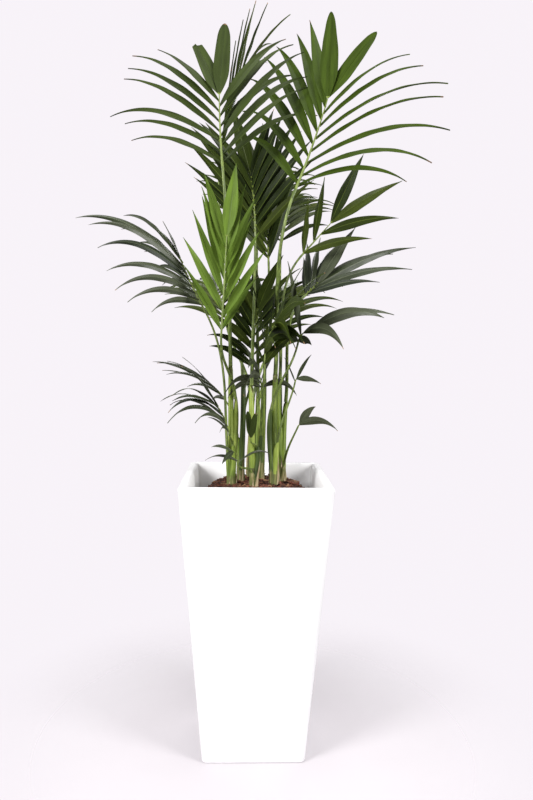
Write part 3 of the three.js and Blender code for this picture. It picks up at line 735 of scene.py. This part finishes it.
def add_frond(name, rib, seed, made):
    frond = FRONDS[name]
    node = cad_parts["frond_" + name]
    solid = BVHTree.FromPolygons([v.co.copy() for v in node.data.vertices],
                                 [tuple(p.vertices) for p in node.data.polygons])
    rng = np.random.default_rng(seed)
    odds = tone_and_shade_odds(frond)
    ends = END_TIPS.get(name, ("point", "point"))
    sculpt = Sculpt("leaves_" + name)
    for leaf in leaflets(frond, rib):
        line = packed_line(leaf, solid)
        if line is not None:
            tip = ends[leaf.side > 0] if leaf.is_end else "point"
            add_leaflet(sculpt, leaf, line, rng, TIPS[tip], odds)
    # The rib, channelled on its upper side, runs on from the stalk.
    look = RIB_LOOK
    t = np.linspace(0, 1, look.rows)
    path = bezier(rib, t)
    path[0] -= unit(path[1] - path[0]) * look.into
    radius = lerp(stalk_thick(frond) * STALK.taper, RIB.tip * look.slim, t)
    across = unit(np.cross(unit(np.gradient(path, axis=0)), unit(frond.face)))
    sculpt.skin(tube_rings(path, across, radius, look.sides, look.channel), RIB_SLOT)
    tone = frond.tone
    piece = sculpt.build([made[tone, kind] for kind in (*LEAF_KINDS, "vein")]
                         + [made["leaf_joint"], made["dry_tip"], made["rib_green"]])
    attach(piece, "root")
    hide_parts("frond_" + name)


# ---- Stalks and canes ----
def add_stalk(name, stalk, rib, made):
    frond, look = FRONDS[name], STALK_LOOK
    sculpt = Sculpt("leafstalk_" + name)
    t = np.linspace(0, 1, look.rows)
    path = bezier(stalk, t)
    path = np.vstack([path[0] - unit(path[1] - path[0]) * look.into, path])
    way = unit(np.gradient(path, axis=0))
    across = carried(way, unit(np.cross(unit(rib[1] - rib[0]), unit(frond.face))))
    thick = stalk_thick(frond)
    share = np.concatenate([[0], t])
    radius = lerp(thick, thick * STALK.taper, share)
    # The stalk swells a little where the blade begins.
    radius = radius * (1 + look.swell * np.exp(-(((share - 0.985) / 0.02) ** 2)))
    sculpt.skin(tube_rings(path, across, radius, look.sides, look.channel, look.flat), 0)
    piece = sculpt.build([made["stalk_green"]])
    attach(piece, "root")
    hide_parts("stalk_" + name)


def ragged(rng, count, amount):
    """A torn edge: uneven teeth round a ring."""
    steps = rng.normal(0, 1, count)
    return amount * (0.6 * np.abs(steps) + 0.4 * np.sin(np.linspace(0, 9, count)))


def add_husk(sculpt, rng, t, path, across, radius):
    """A dry papery strip of old sheath that hugs a cane and ends in a torn point."""
    length = np.linalg.norm(np.diff(path, axis=0), axis=1).sum()
    top = np.cross(across, unit(np.gradient(path, axis=0)))
    height = rng.choice(HUSK.heights, p=HUSK.odds) * rng.uniform(*HUSK.vary)
    height = min(height, HUSK.most * length)
    columns = np.linspace(-1, 1, HUSK.columns)
    edge = height * (1 - 0.8 * np.abs(columns) ** 1.2)
    torn = np.abs(ragged(rng, len(columns), 0.1 * height))
    edge = np.maximum(edge - torn, HUSK.least)
    share = np.linspace(0, 1, HUSK.rows)[:, None]
    place = share * edge / length
    middle = rng.uniform(0, 2 * math.pi)
    angle = middle + rng.uniform(*HUSK.half_turn) * columns * (1 - 0.3 * share)
    lift = HUSK.thick + rng.uniform(0, HUSK.lift) * share**3

    def at(values):
        return np.stack([np.interp(place, t, values[:, k]) for k in range(3)], axis=-1)

    out = np.cos(angle)[..., None] * at(across) + np.sin(angle)[..., None] * at(top)
    inner = at(path) + out * (np.interp(place, t, radius) + lift)[..., None]
    outer = inner + out * HUSK.thick
    sculpt.skin(np.concatenate([outer, inner[:, ::-1]], axis=1), 0, strips=True)


def add_cane(cane, sheaths, seed, made, husks):
    """A bundle of leaf sheaths, each closed on its stalk, with dry strips round its foot."""
    look = SHEATH_LOOK
    sides = look.sides
    rng = np.random.default_rng(100 + seed)
    sculpt = Sculpt("sheaths_" + cane)
    for name, turn, sheath in sheaths:
        thick = stalk_thick(FRONDS[name])
        t = np.linspace(0, 1, look.rows)
        path = bezier(sheath, t)
        way = unit(np.gradient(path, axis=0))
        out = np.array([math.cos(turn), math.sin(turn), 0.0])
        across = carried(way, unit(np.cross(way[-1], out)))
        radius = lerp(CANE.foot, max(CANE.neck, thick + 1), t)
        radius = radius * (1 + look.bulb * np.exp(-((t / 0.06) ** 2)))
        # The mouth closes on the stalk, so that one runs on into the other.
        close = np.clip((t - look.close) / (1 - look.close), 0, 1) ** 2
        radius = lerp(radius, thick + 0.5, close)
        for _ in range(rng.integers(1, 5)):
            add_husk(husks, rng, t, path, across, radius)
        rings = tube_rings(path, across, radius, sides)
        # Fine ribs along the sheath, and a mouth that runs down on its inner side.
        turns = 2 * math.pi * np.arange(sides) / sides
        ribs = look.rib * np.cos(turns * look.ribs + rng.uniform(0, 6))
        rings += (rings - path[:, None]) / radius[:, None, None] * ribs[None, :, None]
        drop = look.drop * FRONDS[name].sheath * ((1 - np.sin(turns)) / 2) ** 2
        last = np.exp(-(((1 - t) / 0.12) ** 2))
        rings -= way[:, None] * (last[:, None] * drop)[..., None]
        lip = lerp(rings[-1], path[-1], look.lip)
        throat = lerp(lip, path[-1], look.lip) - way[-1] * look.throat
        rings = np.concatenate([rings, lip[None], throat[None]])
        # Slots: 0 to 2 the sheath's own green, 3 its foot, whose edge is uneven.
        slots = np.full((len(rings) - 1, sides), rng.choice(3, p=look.odds))
        foot = MIX.crown + rng.uniform(*look.foot) + ragged(rng, sides, look.torn)
        height = np.append(path[:, 2], path[-1, 2])
        slots[height[:, None] < foot] = 3
        sculpt.skin(rings, slots)
    piece = sculpt.build([made["sheath_green"], made["sheath_pale"], made["sheath_deep"],
                          made["sheath_foot"]])
    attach(piece, "root")
    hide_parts("cane_" + cane)


# ---- The planter and its mix ----
def outer_half(z):
    return lerp(PLANTER.foot, PLANTER.top, z / PLANTER.height) / 2


def inner_half(z):
    return outer_half(z) - PLANTER.wall


def square_ring(half, corner, z, per_corner=9, per_side=6):
    """A level square ring with rounded corners and points along its sides."""
    arcs = []
    for quarter, signs in enumerate(((1, 1), (-1, 1), (-1, -1), (1, -1))):
        turns = math.pi / 2 * (quarter + np.linspace(0, 1, per_corner))
        middle = np.array(signs) * (half - corner)
        arcs.append(middle + corner * np.stack([np.cos(turns), np.sin(turns)], axis=-1))
    ring = []
    for arc, after in zip(arcs, arcs[1:] + arcs[:1]):
        ring += [arc, np.linspace(arc[-1], after[0], per_side + 1)[1:-1]]
    ring = np.concatenate(ring)
    return np.column_stack([ring, np.full(len(ring), z)])


def add_planter():
    """The planter's outside, its rounded rim and its inside, as one profile of rings."""
    height, corner, lip = PLANTER.height, PLANTER.corner, PLANTER.round
    foot, edge = lip / 2, height - lip
    rim = np.radians(np.linspace(12, 90, 7))
    profile = [(outer_half(foot) - foot * (1 - math.sin(a)), corner, foot * (1 - math.cos(a)))
               for a in np.radians(np.linspace(0, 90, 5))]
    profile += [(outer_half(z), corner, z) for z in np.linspace(foot, edge, 14)[1:]]
    profile += [(outer_half(height) - lip * (1 - math.cos(a)), corner, edge + lip * math.sin(a))
                for a in rim]
    corner /= 2
    profile += [(inner_half(height) + lip * (1 - math.cos(a)), corner, edge + lip * math.sin(a))
                for a in rim[::-1]]
    profile += [(inner_half(z), corner, z) for z in np.linspace(edge, PLANTER.floor, 9)]
    sculpt = Sculpt("planter_shell")
    sculpt.skin(np.array([square_ring(*ring) for ring in profile]), 0)
    made = Shader("planter_lacquer")
    broad = made.noise(made.coordinates("Object", (5, 5, 3)), detail=3)
    made.colour(broad, [(0.3, (0.90, 0.89, 0.90)), (0.7, (0.93, 0.92, 0.93))])
    peel = made.noise(made.coordinates("Object", (260, 260, 260)), detail=2)
    made.roughness(broad, 0.26, 0.36)
    made.relief((broad, 0.1, 0.002), (peel, 0.06, 0.0004))
    piece = sculpt.build([made.material], sharp=60)
    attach(piece, "root")
    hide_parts("planter")


# broad and fine: how uneven the mix is. It runs on down behind the planter's walls.
MIX_LOOK = Named(points=110, broad=3.2, fine=1.3, under=640, beyond=400)


def mix_height(x, y):
    """The height of the potting mix: a round crown that falls to the planter's walls."""
    reach = (abs(x) ** 3 + abs(y) ** 3) ** (1 / 3)
    outward = (0, MIX.crown_half, MIX.shoulder_half, inner_half(MIX.edge), MIX_LOOK.beyond)
    heights = (MIX.crown, MIX.crown - 1, MIX.shoulder - 2, MIX.edge + 2, MIX_LOOK.under)
    broad = noise.fractal(Vector((x * 0.02, y * 0.02, 3.1)), 0.9, 2.1, 4)
    fine = noise.fractal(Vector((x * 0.11, y * 0.11, 9.7)), 0.8, 2.2, 3)
    z = float(np.interp(reach, outward, heights))
    return z + MIX_LOOK.broad * broad + MIX_LOOK.fine * fine


def add_mix(made):
    wall = inner_half(MIX.edge) - SEAT
    grid = np.linspace(-wall, wall, MIX_LOOK.points)
    top = np.array([[(x, y, mix_height(x, y)) for x in grid] for y in grid])
    bottom = top.copy()
    bottom[..., 2] = MIX_LOOK.under
    sculpt = Sculpt("potting_mix_bed")
    sculpt.skin(np.concatenate([top, bottom[:, ::-1]], axis=1), 0, strips=True)
    piece = sculpt.build([made["mix"]], sharp=80)
    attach(piece, "root")
    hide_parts("potting_mix")


# clear: the room left round a cane. inside: the room left at the planter's walls. plain: the
# odds of a chip that isn't a long splinter. around: a chip's section, in degrees.
CHIPS = Named(
    count=1500, clear=11, inside=12, rings=6, long=(5, 17), plain=0.8, splinter=1.6,
    wide=(0.3, 0.75), thick=(1.0, 3.2), bend=0.25, tilt=0.35, blunt=(2, 5), rough=0.22,
    above=(0.2, 3.5), around=(20, 90, 160, 200, 270, 340))
FIBRES = Named(
    count=160, rows=9, sides=5, within=105, long=(10, 34), bend=0.9, lift=(1, 5),
    thick=(0.25, 0.5), tan_odds=0.6)


def add_chips(made):
    """Loose bark: bent flakes and crumbs that lie over each other on the mound."""
    rng = np.random.default_rng(11)
    sculpt = Sculpt("bark_chips")
    limit = inner_half(MIX.edge) - CHIPS.inside
    around = np.radians(CHIPS.around)
    s = np.linspace(-1, 1, CHIPS.rings)
    odds = [odds for _, odds in BARKS.values()]
    for _ in range(CHIPS.count):
        x, y = rng.uniform(-limit, limit, 2)
        if any(math.hypot(x - cx, y - cy) < CHIPS.clear for cx, cy in CANES.values()):
            continue
        long = rng.uniform(*CHIPS.long)
        long *= 1 if rng.random() < CHIPS.plain else CHIPS.splinter
        wide = long * rng.uniform(*CHIPS.wide)
        thick = rng.uniform(*CHIPS.thick)
        bend = rng.uniform(-CHIPS.bend, CHIPS.bend) * long
        turn = rng.uniform(0, 2 * math.pi)
        tip, lean = rng.normal(0, CHIPS.tilt, 2)
        outline = 1 - (np.abs(s) * 0.93) ** rng.uniform(*CHIPS.blunt)
        rings = []
        for place, share in zip(s, np.sqrt(np.clip(outline, 0.04, 1))):
            jitter = 1 + rng.uniform(-CHIPS.rough, CHIPS.rough, len(around))
            rings.append(np.stack([
                np.full(len(around), place * long / 2),
                wide / 2 * share * np.cos(around) * jitter,
                thick / 2 * np.sin(around) * jitter - bend * place**2 / 2], axis=-1))
        spin = np.array(Matrix.Rotation(turn, 3, "Z") @ Matrix.Rotation(tip, 3, "X")
                        @ Matrix.Rotation(lean, 3, "Y"))
        rings = np.array(rings) @ spin.T
        rings += np.array([x, y, mix_height(x, y) + rng.uniform(*CHIPS.above)])
        sculpt.skin(rings, int(rng.choice(len(odds), p=odds)))
    piece = sculpt.build([made[name] for name in BARKS], sharp=35)
    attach(piece, "root")


def add_fibres(made):
    """Coir fibres in the mix, short curved strands on its surface."""
    rng = np.random.default_rng(13)
    sculpt = Sculpt("mix_fibres")
    rows = FIBRES.rows
    t = np.linspace(0, 1, rows)
    for _ in range(FIBRES.count):
        x, y = rng.uniform(-FIBRES.within, FIBRES.within, 2)
        turn, run = rng.uniform(0, 2 * math.pi), rng.uniform(*FIBRES.long)
        angle = turn + rng.normal(0, FIBRES.bend) * t
        px = x + np.cumsum(np.cos(angle)) * run / rows
        py = y + np.cumsum(np.sin(angle)) * run / rows
        lift = 1 + rng.uniform(*FIBRES.lift) * np.sin(math.pi * t)
        pz = np.array([mix_height(a, b) for a, b in zip(px, py)]) + lift
        path = np.stack([px, py, pz], axis=-1)
        radius = rng.uniform(*FIBRES.thick)
        rings = tube_rings(path, np.tile(UP, (rows, 1)), radius, FIBRES.sides)
        sculpt.skin(rings, 0 if rng.random() < FIBRES.tan_odds else 1)
    piece = sculpt.build([made["bark_tan"], made["bark_red"]])
    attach(piece, "root")


# ---- Stage, light and camera, in metres ----
# fade: where the floor starts and stops to fade. share: how much of it covers before that.
FLOOR = Named(sides=96, rings=(0.02, 0.4, 0.8, 1.4, 2.2, 3.2), below=0.0005,
              fade=(0.25, 0.95), share=0.75)
WORLD = Named(seen=(0.940, 0.898, 0.945, 1), lit=(1, 0.98, 1, 1), fill=0.36)
# Softboxes: their place, target, size and power in watts.
LIGHTS = {
    "softbox_left": ((-2.3, -1.9, 2.2), (0, 0, 1.0), (1.1, 1.3), 115),
    "softbox_right": ((2.4, -1.8, 2.0), (0, 0, 0.9), (1.1, 1.3), 92),
    "softbox_top": ((0.1, -0.4, 3.8), (0, 0, 1.0), (1.4, 1.4), 44),
    "softbox_back": ((0.2, 2.6, 2.7), (0, 0, 0.9), (1.8, 1.2), 36),
}
# The camera that fits the planter's corners in the photo, with its turns in degrees.
CAMERA = Named(sensor=36, lens=30, place=(-0.026, -1.847, 1.114), turns=(4.51, 1.67, 0.68))


def add_floor():
    """A pale studio floor that fades into the background away from the planter."""
    sides = FLOOR.sides
    turns = 2 * math.pi * np.arange(sides) / sides
    points = [(r * math.cos(a), r * math.sin(a), 0.0) for r in FLOOR.rings for a in turns]
    faces = [list(range(sides))]
    for start in range(0, len(points) - sides, sides):
        for i in range(sides):
            j = (i + 1) % sides
            faces.append([start + i, start + sides + i, start + sides + j, start + j])
    mesh = bpy.data.meshes.new("studio_floor")
    mesh.from_pydata(points, [], faces)
    floor = bpy.data.objects.new("studio_floor", mesh)
    floor.location.z = -FLOOR.below
    bpy.context.scene.collection.objects.link(floor)
    made = Shader("studio_floor", rough=0.6, specular=0.2)
    cloud = made.noise(made.coordinates("Object", (2.2, 2.2, 1)), detail=3)
    made.colour(cloud, [(0.3, (0.59, 0.555, 0.58)), (0.7, (0.62, 0.585, 0.61))])
    grit = made.noise(made.coordinates("Object", (90, 90, 90)), detail=2)
    made.relief((grit, 0.1, 0.001))
    distance = made.node("VectorMath", operation="LENGTH")
    made.link(made.coordinates("Object", (1, 1, 0)), distance.inputs[0])
    fade = made.spread(distance.outputs["Value"], *FLOOR.fade, FLOOR.share, 0.0, "SMOOTHSTEP")
    made.link(fade, made.shader.inputs["Alpha"])
    mesh.materials.append(made.material)


def add_light(name, place, target, size, power):
    data = bpy.data.lights.new(name, "AREA")
    data.shape = "RECTANGLE"
    data.size, data.size_y = size
    data.energy = power
    lamp = bpy.data.objects.new(name, data)
    lamp.location = place
    lamp.rotation_euler = (Vector(target) - Vector(place)).to_track_quat("-Z", "Y").to_euler()
    lamp.visible_camera = False
    bpy.context.scene.collection.objects.link(lamp)


def add_world():
    """A pale background for the camera, and a softer fill that lights the plant."""
    world = bpy.data.worlds.new("studio")
    bpy.context.scene.world = world
    world.use_nodes = True
    tree = world.node_tree
    seen = tree.nodes["Background"]
    seen.inputs["Color"].default_value = WORLD.seen
    seen.inputs["Strength"].default_value = 1.0
    lit = tree.nodes.new("ShaderNodeBackground")
    lit.inputs["Color"].default_value = WORLD.lit
    lit.inputs["Strength"].default_value = WORLD.fill
    rays = tree.nodes.new("ShaderNodeLightPath")
    mixer = tree.nodes.new("ShaderNodeMixShader")
    tree.links.new(rays.outputs["Is Camera Ray"], mixer.inputs[0])
    tree.links.new(lit.outputs[0], mixer.inputs[1])
    tree.links.new(seen.outputs[0], mixer.inputs[2])
    tree.links.new(mixer.outputs[0], tree.nodes["World Output"].inputs["Surface"])


def add_camera():
    data = bpy.data.cameras.new("camera")
    data.sensor_width = CAMERA.sensor
    data.lens = CAMERA.lens
    camera = bpy.data.objects.new("camera", data)
    bpy.context.scene.collection.objects.link(camera)
    pitch, yaw, roll = (math.radians(a) for a in CAMERA.turns)
    camera.matrix_world = (
        Matrix.Translation(CAMERA.place) @ Matrix.Rotation(-yaw, 4, "Z")
        @ Matrix.Rotation(math.pi / 2 - pitch, 4, "X") @ Matrix.Rotation(roll, 4, "Z"))
    bpy.context.scene.camera = camera


# ---- The whole ----
add_camera()
add_world()
add_floor()
for name, light in LIGHTS.items():
    add_light(name, *light)
bpy.context.scene.view_settings.view_transform = "Standard"

materials = make_materials()
add_planter()
add_mix(materials)
add_chips(materials)
add_fibres(materials)
husks = Sculpt("dry_husks")
ribs = {}
for number, cane in enumerate(CANES):
    bundle = []
    for name, turn in sheath_turns(cane):
        sheath, stalk, rib = paths(name, turn)
        ribs[name] = rib
        bundle.append((name, turn, sheath))
        add_stalk(name, stalk, rib, materials)
    add_cane(cane, bundle, number, materials, husks)
dry = husks.build([materials["dry_husk"]])
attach(dry, "root")
for number, name in enumerate(FRONDS):
    add_frond(name, ribs[name], number + 1, materials)
